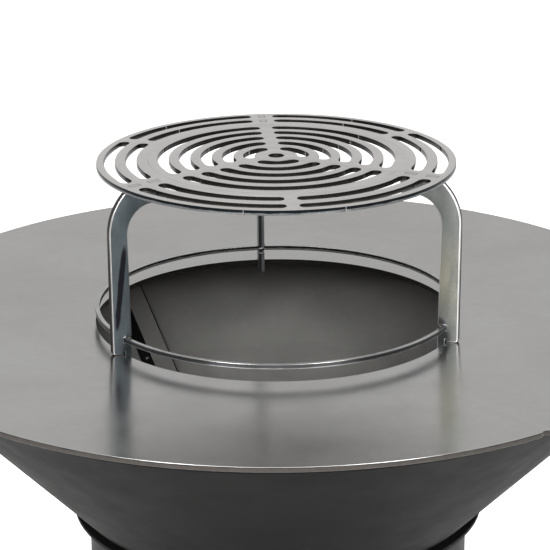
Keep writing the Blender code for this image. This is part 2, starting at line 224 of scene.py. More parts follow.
def scalloped_arc(radius, start, end, depth):
    """An arc about the axis cut as a row of small scallops, each bulging from it by depth."""
    count = SCALLOPS * SCALLOP_STEPS
    points = []
    for i in range(count + 1):
        bulge = depth * abs(sin(pi * i / SCALLOP_STEPS))
        points.append(polar(radius + bulge, start + (end - start) * i / count))
    return points


def slot_outline(inner, width, start, end, near_start, near_end, entry):
    """A curved slot with round ends between two radial bars; entry is how far along it the laser entered.

    A slot's edges are scalloped beside a leg's bar and plain beside the narrow bars halfway between.
    """
    half = width / 2
    middle = inner + half
    first = start + asin((near_start + half) / middle) * 180 / pi
    last = end - asin((near_end + half) / middle) * 180 / pi
    run = SCALLOPS * SCALLOP_PITCH / middle * 180 / pi
    plain_from = first if near_start == BRIDGE_HALF else first + run
    plain_to = last if near_end == BRIDGE_HALF else last - run
    steps = max(12, round((plain_to - plain_from) / SLOT_STEP))
    mark = first + (last - first) * entry
    outer, low = middle + half, middle - half
    points = [] if plain_from == first else scalloped_arc(outer, first, plain_from, SCALLOP_DEPTH)[:-1]
    points += nicked_arc(outer, plain_from, plain_to, (mark,), -NICK_DEPTH, steps)
    points += [] if plain_to == last else scalloped_arc(outer, plain_to, last, SCALLOP_DEPTH)[1:]
    points += arc(polar(middle, last), half, last, last + 180, SLOT_END_STEPS)[1:-1]
    points += [] if plain_to == last else scalloped_arc(low, last, plain_to, -SCALLOP_DEPTH)[:-1]
    points += arc((0.0, 0.0), low, plain_to, plain_from, steps)
    points += [] if plain_from == first else scalloped_arc(low, plain_from, first, -SCALLOP_DEPTH)[1:]
    points += arc(polar(middle, first), half, first - 180, first, SLOT_END_STEPS)[1:-1]
    return points


def tab_outline(middle, angle, room):
    along = TAB_LENGTH / 2 + room
    across = LEG_STEEL / 2 + room
    turn = Matrix.Rotation(radians(angle), 2)
    corners = ((-along, -across), (along, -across), (along, across), (-along, across))
    return [tuple(turn @ Vector((middle + u, v))) for u, v in corners]


# ---------------------------------------------------------------- mesh building


def mesh_from(bm, name):
    mesh = bpy.data.meshes.new(name)
    bm.to_mesh(mesh)
    bm.free()
    return mesh


def stand_piece(name, mesh, materials):
    piece = bpy.data.objects.new(name, mesh)
    bpy.context.scene.collection.objects.link(piece)
    for made in materials:
        mesh.materials.append(made)
    return piece


def cut_plate(name, outlines, low, high, edge, steps=2, hole_slot=1):
    """Flat plate with softened edges.

    Material slot 0 is its two faces, slot 1 its rim and hole_slot the walls of its holes.
    """
    bm = bmesh.new()
    quarter = [(i / steps) * pi / 2 for i in range(steps + 1)]
    under = [(edge * (1 - sin(a)), low + edge * (1 - cos(a))) for a in quarter]
    over = [(inset, low + high - z) for inset, z in reversed(under)]
    rows = under + over
    caps = ([], [])
    for number, outline in enumerate(outlines):
        grow = -1.0 if number == 0 else 1.0
        rings = []
        for inset, z in rows:
            moved = offset(outline, grow * inset) if inset > 0.0 else outline
            rings.append([bm.verts.new((x, y, z)) for x, y in moved])
        for lower, upper in zip(rings, rings[1:]):
            count = len(lower)
            for i in range(count):
                j = (i + 1) % count
                wall = bm.faces.new((lower[i], lower[j], upper[j], upper[i]))
                wall.material_index = 1 if number == 0 else hole_slot
        for cap, ring in zip(caps, (rings[0], rings[-1])):
            cap.extend(bm.edges.get(pair) for pair in zip(ring, ring[1:] + ring[:1]))
    walls = list(bm.faces)
    for cap in caps:
        bmesh.ops.triangle_fill(bm, use_beauty=True, use_dissolve=False, edges=cap)
    bmesh.ops.recalc_face_normals(bm, faces=bm.faces)
    for face in walls:
        face.smooth = True
    for cap in caps:
        for boundary in cap:
            boundary.smooth = False
    mesh = mesh_from(bm, name)
    mesh.set_sharp_from_angle(angle=SHARP)
    return mesh


def soften(profile, radii, steps=4):
    """Round the corners of a closed outline of (radius, height) points, each by its own amount."""
    made = []
    count = len(profile)
    for i, (here, radius) in enumerate(zip(profile, radii)):
        corner = Vector(here)
        before = Vector(profile[i - 1]) - corner
        after = Vector(profile[(i + 1) % count]) - corner
        near = min(radius, before.length * 0.45, after.length * 0.45)
        a = corner + before.normalized() * near
        b = corner + after.normalized() * near
        for k in range(steps + 1):
            t = k / steps
            made.append(tuple(a * (1 - t) ** 2 + corner * (2 * t * (1 - t)) + b * t**2))
    return made


def upright(face):
    return abs(face.normal.z) < 0.35


def inward(face):
    middle = face.calc_center_median()
    return face.normal.x * middle.x + face.normal.y * middle.y < 0.0


def turned(name, profile, steps, slot_of):
    """Spin a closed outline round the Z axis; slot_of(face) gives each face's material slot."""
    bm = bmesh.new()
    points = [bm.verts.new((r, 0.0, z)) for r, z in profile]
    edges = []
    for a, b in zip(points, points[1:] + points[:1]):
        if a.co.x > 0.0 or b.co.x > 0.0:
            edges.append(bm.edges.new((a, b)))
    bmesh.ops.spin(
        bm, geom=points + edges, cent=(0, 0, 0), axis=(0, 0, 1), dvec=(0, 0, 0),
        angle=tau, steps=steps, use_merge=False, use_normal_flip=False, use_duplicate=False,
    )
    bmesh.ops.remove_doubles(bm, verts=bm.verts, dist=0.00001)
    bmesh.ops.recalc_face_normals(bm, faces=bm.faces)
    for face in bm.faces:
        face.smooth = True
        face.material_index = int(slot_of(face))
    return mesh_from(bm, name)


def weigh_normals(piece):
    """Keep flat faces flat beside their rounded edges."""
    weighted = piece.modifiers.new("flat_faces", "WEIGHTED_NORMAL")
    weighted.weight = 100
    weighted.keep_sharp = True


# ---------------------------------------------------------------- material nodes


class Graph:
    """Builds one procedural material, with its numbers on the shader's own sockets."""

    def __init__(self, name, metallic, roughness, specular=0.5, colour=(0.5, 0.5, 0.5)):
        self.material = bpy.data.materials.new(name)
        self.material.use_nodes = True
        self.tree = self.material.node_tree
        self.shader = self.tree.nodes["Principled BSDF"]
        self.shader.inputs["Base Color"].default_value = (*colour, 1.0)
        self.shader.inputs["Metallic"].default_value = metallic
        self.shader.inputs["Roughness"].default_value = roughness
        self.shader.inputs["Specular IOR Level"].default_value = specular
        self.where = self.tree.nodes.new("ShaderNodeTexCoord").outputs["Object"]
        self.axes = self.node("ShaderNodeSeparateXYZ", Vector=self.where)

    def node(self, kind, setup=None, **inputs):
        made = self.tree.nodes.new(kind)
        for key, value in (setup or {}).items():
            setattr(made, key, value)
        for key, value in inputs.items():
            self.feed(made.inputs[key.replace("_", " ")], value)
        return made

    def feed(self, socket, value):
        if isinstance(value, bpy.types.NodeSocket):
            self.tree.links.new(value, socket)
        else:
            socket.default_value = value

    def math(self, operation, a, b=0.0, clamp=False):
        made = self.tree.nodes.new("ShaderNodeMath")
        made.operation = operation
        made.use_clamp = clamp
        self.feed(made.inputs[0], a)
        self.feed(made.inputs[1], b)
        return made.outputs[0]

    def noise(self, scale, detail=3.0, roughness=0.55, stretch=(1.0, 1.0, 1.0), distortion=0.0):
        spread = self.node("ShaderNodeVectorMath", {"operation": "MULTIPLY"})
        self.feed(spread.inputs[0], self.where)
        self.feed(spread.inputs[1], stretch)
        made = self.node(
            "ShaderNodeTexNoise", Vector=spread.outputs[0], Scale=scale, Detail=detail,
            Roughness=roughness, Distortion=distortion,
        )
        return made.outputs["Fac"]

    def spread(self, value, low, high, to_low=0.0, to_high=1.0):
        """Map a range of a value onto another, clamped."""
        made = self.node(
            "ShaderNodeMapRange", Value=value, From_Min=low, From_Max=high, To_Min=to_low, To_Max=to_high,
        )
        return made.outputs["Result"]

    def ramp(self, value, *stops):
        """Colour along a value; each stop is (position, (r, g, b))."""
        made = self.tree.nodes.new("ShaderNodeValToRGB")
        self.feed(made.inputs["Fac"], value)
        marks = made.color_ramp.elements
        while len(marks) < len(stops):
            marks.new(1.0)
        for mark, (position, colour) in zip(marks, stops):
            mark.position = position
            mark.color = (*colour, 1.0)
        return made.outputs["Color"]

    def mix(self, factor, a, b, how="MIX"):
        made = self.tree.nodes.new("ShaderNodeMix")
        made.data_type = "RGBA"
        made.blend_type = how
        made.clamp_factor = True
        self.feed(made.inputs["Factor"], factor)
        for socket, value in (("A", a), ("B", b)):
            target = [s for s in made.inputs if s.name == socket and s.type == "RGBA"][0]
            self.feed(target, (*value, 1.0) if isinstance(value, tuple) else value)
        return [s for s in made.outputs if s.type == "RGBA"][0]

    def near(self, point, reach):
        """1 at a point, falling to 0 at a distance from it."""
        made = self.node("ShaderNodeVectorMath", {"operation": "DISTANCE"})
        self.feed(made.inputs[0], self.where)
        self.feed(made.inputs[1], point)
        return self.spread(made.outputs["Value"], 0.0, reach, 1.0, 0.0)

    def bump(self, height, strength, distance):
        made = self.node("ShaderNodeBump", Height=height, Strength=strength, Distance=distance)
        self.tree.links.new(made.outputs["Normal"], self.shader.inputs["Normal"])

    def colour(self, value):
        self.feed(self.shader.inputs["Base Color"], value)

    def rough(self, value):
        self.feed(self.shader.inputs["Roughness"], value)


def from_axis(g):
    """Distance of a point from the Z axis."""
    flat = g.node("ShaderNodeCombineXYZ", X=g.axes.outputs["X"], Y=g.axes.outputs["Y"], Z=0.0)
    reach = g.node("ShaderNodeVectorMath", {"operation": "LENGTH"})
    g.feed(reach.inputs[0], flat.outputs[0])
    return reach.outputs["Value"]


def rolled_steel(name, dark, light, rough_low, rough_high, scribe=None):
    """Bare hot-rolled sheet: faint clouds, fine grain, and a scribed circle where its radius is given."""
    g = Graph(name, 1.0, (rough_low + rough_high) / 2)
    clouds = g.noise(5.5, 4.0, 0.6, distortion=0.4)
    grain = g.noise(420.0, 3.0, 0.6)
    specks = g.noise(95.0, 4.0, 0.7)
    tone = g.ramp(g.spread(clouds, 0.3, 0.7), (0.0, dark), (1.0, light))
    shade = g.ramp(g.spread(specks, 0.3, 0.7), (0.0, (0.94, 0.94, 0.94)), (1.0, (1.0, 1.0, 1.0)))
    colour = g.mix(1.0, tone, shade, "MULTIPLY")
    if scribe is not None:
        off_line = g.math("ABSOLUTE", g.math("SUBTRACT", from_axis(g), scribe))
        line = g.spread(off_line, 0.0003, 0.0008, 1.0, 0.0)
        worn_line = g.math("MULTIPLY", line, g.spread(g.noise(9.0, 2.0, 0.5), 0.42, 0.56, 0.0, 0.6))
        colour = g.mix(worn_line, colour, (0.10, 0.09, 0.085))
    g.colour(colour)
    worn = g.noise(13.0, 3.0, 0.5)
    g.rough(g.spread(worn, 0.35, 0.65, rough_low, rough_high))
    g.bump(grain, 0.06, 0.00012)
    return g.material


def bowl_steel():
    """The bowl's bare inside, its tone graded by height as painted light and shade: lighter near its rim
    and darker towards its floor.
    """
    g = Graph("bowl_steel", 1.0, 0.54)
    clouds = g.noise(5.5, 4.0, 0.6, distortion=0.4)
    level = g.math("ADD", g.axes.outputs["Z"], g.spread(clouds, 0.3, 0.7, -0.004, 0.004))
    # Painted light and shade: the upper wall, which the plate shades, is made light and the lower wall,
    # which light through the hole reaches, dark.
    tone = g.ramp(
        g.spread(level, BOWL_LOW, BOWL_TOP),
        (0.0, (0.075, 0.074, 0.070)),
        (0.20, (0.102, 0.100, 0.096)),
        (0.335, (0.172, 0.169, 0.161)),
        (0.455, (0.320, 0.315, 0.301)),
        (0.60, (0.46, 0.453, 0.434)),
        (1.0, (0.45, 0.443, 0.425)),
    )
    specks = g.noise(95.0, 4.0, 0.7)
    shade = g.ramp(g.spread(specks, 0.3, 0.7), (0.0, (0.92, 0.92, 0.92)), (1.0, (1.0, 1.0, 1.0)))
    g.colour(g.mix(1.0, tone, shade, "MULTIPLY"))
    g.rough(g.spread(g.noise(13.0, 3.0, 0.5), 0.35, 0.65, 0.50, 0.58))
    g.bump(g.noise(420.0, 3.0, 0.6), 0.06, 0.00012)
    return g.material


def turned_steel(name, dark, light, roughness):
    """Ground steel with its grain running round the Z axis, so its highlights stretch across the grain."""
    g = Graph(name, 1.0, roughness)
    g.shader.inputs["Anisotropic"].default_value = 0.85
    g.shader.inputs["Anisotropic Rotation"].default_value = 0.25
    round_z = g.node("ShaderNodeTangent", {"direction_type": "RADIAL", "axis": "Z"})
    g.feed(g.shader.inputs["Tangent"], round_z.outputs["Tangent"])
    patches = g.noise(40.0, 3.0, 0.6)
    g.colour(g.ramp(g.spread(patches, 0.3, 0.7), (0.0, dark), (1.0, light)))
    g.bump(g.noise(500.0, 2.0, 0.6), 0.08, 0.00012)
    return g.material


def cut_edge(name, height, dark, light, share, blur=0.07, roughness=0.38):
    """Laser-cut wall: a light band, a dark band and fine striations through the thickness.

    height(g) gives where a point lies through the thickness, from 0 at the face beside the light band to 1
    at the other; the light band takes up share of it.
    """
    g = Graph(name, 1.0, roughness)
    wobble = g.noise(60.0, 2.0, 0.5, (1.0, 1.0, 0.1))
    level = g.math("ADD", height(g), g.spread(wobble, 0.3, 0.7, -0.08, 0.08))
    stripes = g.noise(700.0, 2.0, 0.6, (1.0, 1.0, 0.04))
    band = g.ramp(level, (0.0, light), (share - blur, light), (share + blur, dark), (1.0, dark))
    shade = g.ramp(g.spread(stripes, 0.3, 0.7), (0.0, (0.72, 0.72, 0.72)), (1.0, (1.0, 1.0, 1.0)))
    g.colour(g.mix(1.0, band, shade, "MULTIPLY"))
    g.bump(stripes, 0.25, 0.0002)
    return g.material


def level_between(low, high):
    """Through-thickness measure along Z between two heights."""
    return lambda g: g.spread(g.axes.outputs["Z"], low, high)


def level_in_dish(g):
    """Through-thickness measure in the dished plate, whose top rises with the radius."""
    top = g.spread(from_axis(g), HOLE_R, PLATE_R, PLATE_Z, PLATE_RIM_Z)
    below = g.math("SUBTRACT", top, g.axes.outputs["Z"])
    return g.spread(below, 0.0, STEEL, 1.0, 0.0)


def across_leg(light_side):
    """Through-thickness measure across a leg in its own XZ plane, 0 on the lighter side (-1 or 1 in Y)."""
    reach = light_side * LEG_STEEL / 2
    return lambda g: g.spread(g.axes.outputs["Y"], reach, -reach)


HEAT_TINT = (
    (0.0, (0.19, 0.20, 0.21)),
    (0.35, (0.12, 0.13, 0.155)),
    (0.6, (0.12, 0.10, 0.095)),
    (0.8, (0.15, 0.13, 0.10)),
    (1.0, (0.08, 0.07, 0.06)),
)

# Middle and reach of the painted shade on a leg's face just above its peg, where the face lies in shadow
# below the ring.
PEG_SHADE = ((LEG_IN_FOOT + 0.0045, -LEG_STEEL / 2, 0.0060), 0.0160)


def streak_on(g, low_end, high_end, half_width):
    """How strongly a slanting streak with ragged edges shows at a point of a leg's own plane."""
    rise = high_end[1] - low_end[1]
    level = g.math("DIVIDE", g.math("SUBTRACT", g.axes.outputs["Z"], low_end[1]), rise)
    lean = g.math("MULTIPLY", level, high_end[0] - low_end[0])
    middle = g.math("ADD", lean, low_end[0])
    across = g.math("DIVIDE", g.math("SUBTRACT", g.axes.outputs["X"], middle), half_width)
    along = g.math("MULTIPLY", g.math("SUBTRACT", level, 0.5), 2.0)
    distance = g.math("ADD", g.math("POWER", across, 2.0), g.math("POWER", along, 6.0))
    wobble = g.spread(g.noise(130.0, 3.0, 0.6, (1.0, 1.0, 0.4)), 0.3, 0.7, -0.22, 0.22)
    return g.spread(g.math("ADD", distance, wobble), 0.40, 1.15, 0.95, 0.0)


def tint_on(g, low, high, clouds):
    """How strongly a cloudy tint shows between two heights, most of all halfway."""
    rise = g.spread(g.axes.outputs["Z"], low, (low + high) / 2)
    fall = g.spread(g.axes.outputs["Z"], (low + high) / 2, high, 1.0, 0.0)
    return g.math("MULTIPLY", g.math("MULTIPLY", rise, fall), g.spread(clouds, 0.35, 0.6))


def mill_steel(name, dark, light, welds, streak=None, tint=None):
    """Flat bar with its scale, heat tint round the welds, painted shade above its peg and an optional dark
    streak.

    welds lists (point, reach); streak is (low end, high end, half width) in the leg's own plane;
    tint is (colour, low height, high height).
    """
    g = Graph(name, 1.0, 0.36)
    clouds = g.noise(38.0, 4.0, 0.6, (1.0, 1.0, 0.35), 0.3)
    specks = g.noise(420.0, 3.0, 0.7)
    colour = g.ramp(g.spread(clouds, 0.32, 0.68), (0.0, dark), (1.0, light))
    if tint is not None:
        tint_colour, low, high = tint
        colour = g.mix(tint_on(g, low, high, clouds), colour, tint_colour)
    if streak is not None:
        colour = g.mix(streak_on(g, *streak), colour, (0.020, 0.017, 0.024))
    # Painted shade: the face darkens towards the spot just above the peg, where it lies in shadow.
    peg_shade = g.spread(g.near(*PEG_SHADE), 0.0, 0.55, 0.0, 0.72)
    colour = g.mix(peg_shade, colour, (0.040, 0.044, 0.046))
    for point, reach in welds:
        close = g.near(point, reach)
        ragged = g.math("ADD", close, g.spread(specks, 0.3, 0.7, -0.12, 0.12))
        tinted = g.ramp(ragged, *HEAT_TINT)
        colour = g.mix(g.spread(close, 0.0, 0.35), colour, tinted)
    shade = g.ramp(g.spread(specks, 0.3, 0.7), (0.0, (0.86, 0.86, 0.86)), (1.0, (1.0, 1.0, 1.0)))
    g.colour(g.mix(1.0, colour, shade, "MULTIPLY"))
    g.rough(g.spread(clouds, 0.3, 0.7, 0.44, 0.56))
    g.bump(specks, 0.10, 0.00015)
    return g.material


def weld_metal():
    """Solidified bead: dark metal with straw-coloured and brighter patches."""
    g = Graph("weld_metal", 1.0, 0.24)
    patches = g.noise(260.0, 3.0, 0.6)
    colour = g.ramp(
        g.spread(patches, 0.3, 0.72),
        (0.0, (0.045, 0.042, 0.040)),
        (0.35, (0.10, 0.093, 0.080)),
        (0.6, (0.17, 0.17, 0.17)),
        (1.0, (0.42, 0.42, 0.42)),
    )
    g.colour(colour)
    g.bump(g.noise(900.0, 2.0, 0.5), 0.15, 0.0002)
    return g.material


def painted(name, colour, roughness, lift, bump_scale, bump_strength, specular):
    """Coated steel: fine texture and clouds up to lift times as light as its colour."""
    g = Graph(name, 0.0, roughness, specular, colour)
    clouds = g.noise(4.5, 3.0, 0.5)
    texture = g.noise(bump_scale, 2.0, 0.5)
    light = tuple(c * lift for c in colour)
    g.colour(g.ramp(g.spread(clouds, 0.3, 0.7), (0.0, colour), (1.0, light)))
    g.rough(g.spread(g.noise(22.0, 3.0, 0.6), 0.3, 0.7, roughness - 0.05, roughness + 0.05))
    g.bump(texture, bump_strength, 0.0002)
    return g.material


def zinc(name, dark, light):
    g = Graph(name, 1.0, 0.32)
    spangle = g.noise(180.0, 2.0, 0.5)
    g.colour(g.ramp(g.spread(spangle, 0.3, 0.7), (0.0, dark), (1.0, light)))
    g.rough(g.spread(spangle, 0.3, 0.7, 0.26, 0.42))
    g.bump(g.noise(1400.0, 2.0, 0.5), 0.08, 0.0001)
    return g.material


def rubber():
    g = Graph("foot_rubber", 0.0, 0.8, 0.3, (0.02, 0.02, 0.02))
    dust = g.noise(140.0, 3.0, 0.6)
    g.colour(g.ramp(g.spread(dust, 0.35, 0.75), (0.0, (0.016, 0.016, 0.016)), (1.0, (0.05, 0.048, 0.045))))
    g.bump(g.noise(800.0, 2.0, 0.5), 0.2, 0.0002)
    return g.material


def pale_floor():
    g = Graph("pale_floor", 0.0, 0.9, 0.1, (0.92, 0.92, 0.915))
    clouds = g.noise(0.8, 2.0, 0.5)
    g.colour(g.ramp(clouds, (0.0, (0.91, 0.91, 0.905)), (1.0, (0.93, 0.93, 0.925))))
    return g.material


# ---------------------------------------------------------------- griddle plate

NOTCH_ANGLE = 305.6          # where the rim has a small rough notch
NOTCH_HALF = 0.0050          # half its length along the rim
NOTCH_DEPTH = 0.0032


def notch_rim(point):
    """Draw the rim's points in towards the middle within the notch, a little unevenly."""
    reach = hypot(point.x, point.y)
    away = (atan2(point.y, point.x) * 180 / pi - NOTCH_ANGLE + 180.0) % 360.0 - 180.0
    across = radians(away) * PLATE_R / NOTCH_HALF
    if reach > PLATE_R - 0.002 and abs(across) < 1.0:
        depth = NOTCH_DEPTH * (1.0 - across**4) * (0.85 + 0.15 * sin(9.0 * across + 700.0 * point.z))
        point.x *= (reach - depth) / reach
        point.y *= (reach - depth) / reach


def griddle_wall(face):
    """True on the plate's two cut walls and on the sharp edges of its hole."""
    middle = face.calc_center_median()
    return upright(face) or hypot(middle.x, middle.y) < HOLE_R + EDGE


def griddle_plate(top, wall):
    profile = soften(
        [(PLATE_R, PLATE_RIM_Z), (PLATE_R, PLATE_RIM_Z - STEEL), (HOLE_R, PLATE_LOW), (HOLE_R, PLATE_Z)],
        (SOFT_EDGE, EDGE, EDGE, EDGE),
    )
    mesh = turned("griddle", profile, PLATE_STEPS, griddle_wall)
    for point in mesh.vertices:
        notch_rim(point.co)
    piece = stand_piece("griddle", mesh, (top, wall))
    weigh_normals(piece)
    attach(piece, "griddle")
    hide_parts("griddle_plate")


# ---------------------------------------------------------------- grate stand


def mark_entries(mesh, slot):
    """Give the walls of the laser's entry marks, the shortest ones, their own material."""
    for face in mesh.polygons:
        if face.material_index > 0:
            corners = [mesh.vertices[i].co for i in face.vertices]
            width = max(hypot(a.x - b.x, a.y - b.y) for a in corners for b in corners)
            if width < ENTRY_WIDTH:
                face.material_index = slot


def grate(top, rim_wall, slot_wall, entry):
    rim = nicked_arc(GRATE_R, 0.0, 360.0, RIM_NICKS, NICK_DEPTH, ROUND_STEPS)[:-1]
    outlines = [rim, circle(CENTRE_HOLE_R, 40)]
    for spoke in LEG_ANGLES.values():
        after = spoke + 120.0
        for row in range(SLOT_INNER_ROWS):
            inner = SLOT_INNER_R + row * SLOT_INNER_PITCH
            bars = (spoke, after, SPOKE_HALF, SPOKE_HALF)
            entry_at = INNER_ENTRY + INNER_ENTRY_STEP * row
            outlines.append(slot_outline(inner, SLOT_INNER_WIDTH, *bars, entry_at))
        bridge = spoke + BRIDGE_TURN
        for row in range(SLOT_OUTER_ROWS):
            inner = SLOT_OUTER_R + row * SLOT_OUTER_PITCH
            to_bridge = (spoke, bridge, SPOKE_HALF_OUTER, BRIDGE_HALF)
            past_bridge = (bridge, after, BRIDGE_HALF, SPOKE_HALF_OUTER)
            for bars, entry_at in zip((to_bridge, past_bridge), OUTER_ENTRIES):
                outlines.append(slot_outline(inner, SLOT_OUTER_WIDTH, *bars, entry_at))
        for middle in TAB_MIDDLES:
            outlines.append(tab_outline(middle, spoke, TAB_GAP))
    mesh = cut_plate("grate", outlines, GRATE_LOW, GRATE_TOP, EDGE, hole_slot=2)
    mark_entries(mesh, 3)
    for point in mesh.vertices:
        point.co.z += bow(hypot(point.co.x, point.co.y))
    piece = stand_piece("grate", mesh, (top, rim_wall, slot_wall, entry))
    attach(piece, "grate_stand")
    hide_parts("cooking_grate")


def bow(radius):
    """Rise of the grate at a radius: it is drawn up like a shallow dome."""
    return BOW * (1 - (radius / GRATE_R) ** 2)


def leg_outline():
    """Outline of a leg in its own plane, as (radius, height above the griddle's inner edge)."""
    rise = (PLATE_RIM_Z - PLATE_Z) / (PLATE_R - HOLE_R)
    arm_top = GRATE_LOW - PLATE_Z - GAP
    foot_z = rise * (LEG_OUT_FOOT - HOLE_R) + GAP
    foot_in_z = rise * (FOOT_IN - HOLE_R) + GAP
    outer_centre = (LEG_OUT_TOP - LEG_OUT_BEND, LEG_BEND_Z)
    inner_centre = (LEG_IN - LEG_IN_BEND, LEG_ARM_UNDER - LEG_IN_BEND)
    meets_grate = asin((arm_top - LEG_BEND_Z) / LEG_OUT_BEND) * 180 / pi
    arm_from = outer_centre[0] + LEG_OUT_BEND * cos(radians(meets_grate))
    corner = (LEG_OUT_FOOT - FOOT_CORNER, foot_z + FOOT_CORNER)
    points = arc(corner, FOOT_CORNER, -90, 0, 10)
    points += arc(outer_centre, LEG_OUT_BEND, 0, meets_grate, LEG_BEND_STEPS)
    for share in (0.25, 0.5, 0.75, 1.0):
        r = arm_from + (LEG_ARM_END - arm_from) * share
        points.append((r, arm_top + bow(r)))
    points.append((LEG_ARM_END, LEG_ARM_UNDER))
    points += arc(inner_centre, LEG_IN_BEND, 90, 0, LEG_BEND_STEPS)
    notch = RING_OUT + GAP
    low, high = RING_LOW - PLATE_Z - GAP, RING_TOP - PLATE_Z + GAP
    points += [(LEG_IN_FOOT, high), (notch, high), (notch, low), (LEG_IN_FOOT, low)]
    points += [(LEG_IN_FOOT, PEG_CHAMFER - PEG_DEPTH), (LEG_IN_FOOT + PEG_CHAMFER, -PEG_DEPTH)]
    points += [(PEG_OUT - PEG_CHAMFER, -PEG_DEPTH), (PEG_OUT, PEG_CHAMFER - PEG_DEPTH)]
    points += [(PEG_OUT, PEG_ROOT), (FOOT_IN, PEG_ROOT), (FOOT_IN, foot_in_z)]
    return points


def leg(name, node, angle, face, wall):
    """A leg in its own XZ plane, turned to its place, so that its material knows its own axes."""
    mesh = cut_plate(name, [leg_outline()], -LEG_STEEL / 2, LEG_STEEL / 2, LEG_EDGE, steps=4)
    mesh.transform(Matrix.Rotation(pi / 2, 4, "X"))
    for patch in mesh.polygons:
        if PEG_OUT - EDGE < patch.center.x < FOOT_IN + EDGE and patch.center.z < PEG_ROOT + EDGE:
            patch.material_index = 0    # the walls of the gap beside the peg look like the leg's faces
    piece = stand_piece(name, mesh, (face, wall))
    piece.location = (0.0, 0.0, PLATE_Z)
    piece.rotation_euler = (0.0, 0.0, radians(angle))
    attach(piece, "grate_stand")
    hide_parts(node)


def tab(name, middle, angle, top, wall):
    """The end of a leg's tab, standing in its slot in the grate and dressed flush with it."""
    mesh = cut_plate(name, [tab_outline(middle, angle, 0.0)], GRATE_LOW, GRATE_TOP, TAB_EDGE)
    for point in mesh.vertices:
        point.co.z += bow(hypot(point.co.x, point.co.y))
    piece = stand_piece(name, mesh, (top, wall))
    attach(piece, "grate_stand")


def ring_slot(face):
    """Slot 0 for the ring's top and rounded edges, 1 for its outer wall, 2 for its inner wall."""
    if not upright(face):
        return 0
    return 2 if inward(face) else 1


def ring(top, outer_wall, inner_wall):
    corners = [(RING_OUT, RING_TOP), (RING_OUT, RING_LOW), (RING_IN, RING_LOW), (RING_IN, RING_TOP)]
    mesh = turned("ring", soften(corners, RING_EDGES, RING_EDGE_STEPS), ROUND_STEPS, ring_slot)
    piece = stand_piece("ring", mesh, (top, outer_wall, inner_wall))
    weigh_normals(piece)
    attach(piece, "grate_stand")
    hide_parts("stand_ring")


def bead(name, path, size, ripples, metal, body):
    """A weld bead along a path of points: a rope that tapers at its ends, with that many ripples."""
    bm = bmesh.new()
    rings = []
    last = len(path) - 1
    for i, here in enumerate(path):
        along = (path[min(i + 1, last)] - path[max(i - 1, 0)]).normalized()
        side = along.cross(Vector((0.0, 0.0, 1.0)))
        if side.length < 0.1:
            side = along.cross(Vector((1.0, 0.0, 0.0)))
        side.normalize()
        up = side.cross(along)
        t = i / last
        swell = size * (0.35 + 0.65 * sin(pi * t) ** 0.5) * (1.0 + 0.16 * sin(tau * t * ripples))
        ring_points = []
        for k in range(WELD_SIDES):
            a = tau * k / WELD_SIDES
            ring_points.append(bm.verts.new(here + side * swell * cos(a) + up * swell * sin(a)))
        rings.append(ring_points)
    for first, second in zip(rings, rings[1:]):
        for k in range(WELD_SIDES):
            j = (k + 1) % WELD_SIDES
            bm.faces.new((first[k], first[j], second[j], second[k]))
    bm.faces.new(list(reversed(rings[0])))
    bm.faces.new(rings[-1])
    bmesh.ops.recalc_face_normals(bm, faces=bm.faces)
    for face in bm.faces:
        face.smooth = True
    piece = stand_piece(name, mesh_from(bm, name), (metal,))
    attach(piece, body)


def ring_welds(metal):
    """Weld where a leg's notch holds the ring: beside the leg, in the notch and below it."""
    start, end = RING_IN - BEAD_IN, RING_OUT + BEAD_OUT
    middle = (RING_LOW + RING_TOP) / 2
    crossing = (("c", RING_IN - FILL_INSET, middle, FILL), ("d", LEG_IN_FOOT, RING_LOW - TACK_DROP, TACK))
    wide = LEG_STEEL - 2 * CROSS_SHORT
    for node, angle in LEG_ANGLES.items():
        stem = f"weld_{node[4:]}"
        turn = Matrix.Rotation(radians(angle), 4, "Z")
        for letter, y in (("a", -LEG_STEEL / 2), ("b", LEG_STEEL / 2)):
            points = []
            for i in range(BEAD_STEPS + 1):
                t = i / BEAD_STEPS
                r = start + (end - start) * t
                points.append(turn @ Vector((r, y, RING_TOP + BEAD_ARCH * sin(pi * t))))
            bead(f"{stem}_{letter}", points, BEAD, BEAD_RIPPLES, metal, "grate_stand")
        for letter, r, z, size in crossing:
            across = [(i / CROSS_STEPS - 0.5) * wide for i in range(CROSS_STEPS + 1)]
            points = [turn @ Vector((r, y, z)) for y in across]
            bead(f"{stem}_{letter}", points, size, CROSS_RIPPLES, metal, "grate_stand")


# ---------------------------------------------------------------- fire bowl

BOWL_EDGE = 0.0005           # rounding of the bowl's edges


def bowl_shell(paint, inside):
    outer = [(BOWL_OUT_TOP, BOWL_TOP), (BOWL_OUT_LOW, BOWL_LOW)]
    corners = outer + [(BOWL_IN_LOW, BOWL_LOW), (BOWL_IN_TOP, BOWL_TOP)]
    mesh = turned("bowl", soften(corners, (BOWL_EDGE,) * 4), ROUND_STEPS, inward)
    piece = stand_piece("bowl", mesh, (paint, inside))
    weigh_normals(piece)
    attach(piece, "base")
    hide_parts("bowl_shell")


LAP_ANGLE = 124.2            # direction of the bar over the sheet's joint, beside the lapped edge
LAP_OFF = 0.0379             # from the bar's middle to the lapped edge, round the wall
LAP_WIDTH = 0.110            # how far round the wall it eases back
LAP_PROUD = 0.0020           # how far its cut edge stands off the wall
LAP_CLEAR = 0.00005          # kept between it and the wall
LAP_FROM = 0.006             # up the wall from the bowl's floor
LAP_SHORT = 0.012            # how far its cut edge stops below the bowl's top
LAP_FALL = 0.030             # and how much lower it ends where it has eased back
LAP_ROWS = 8
LAP_COLUMNS = 24


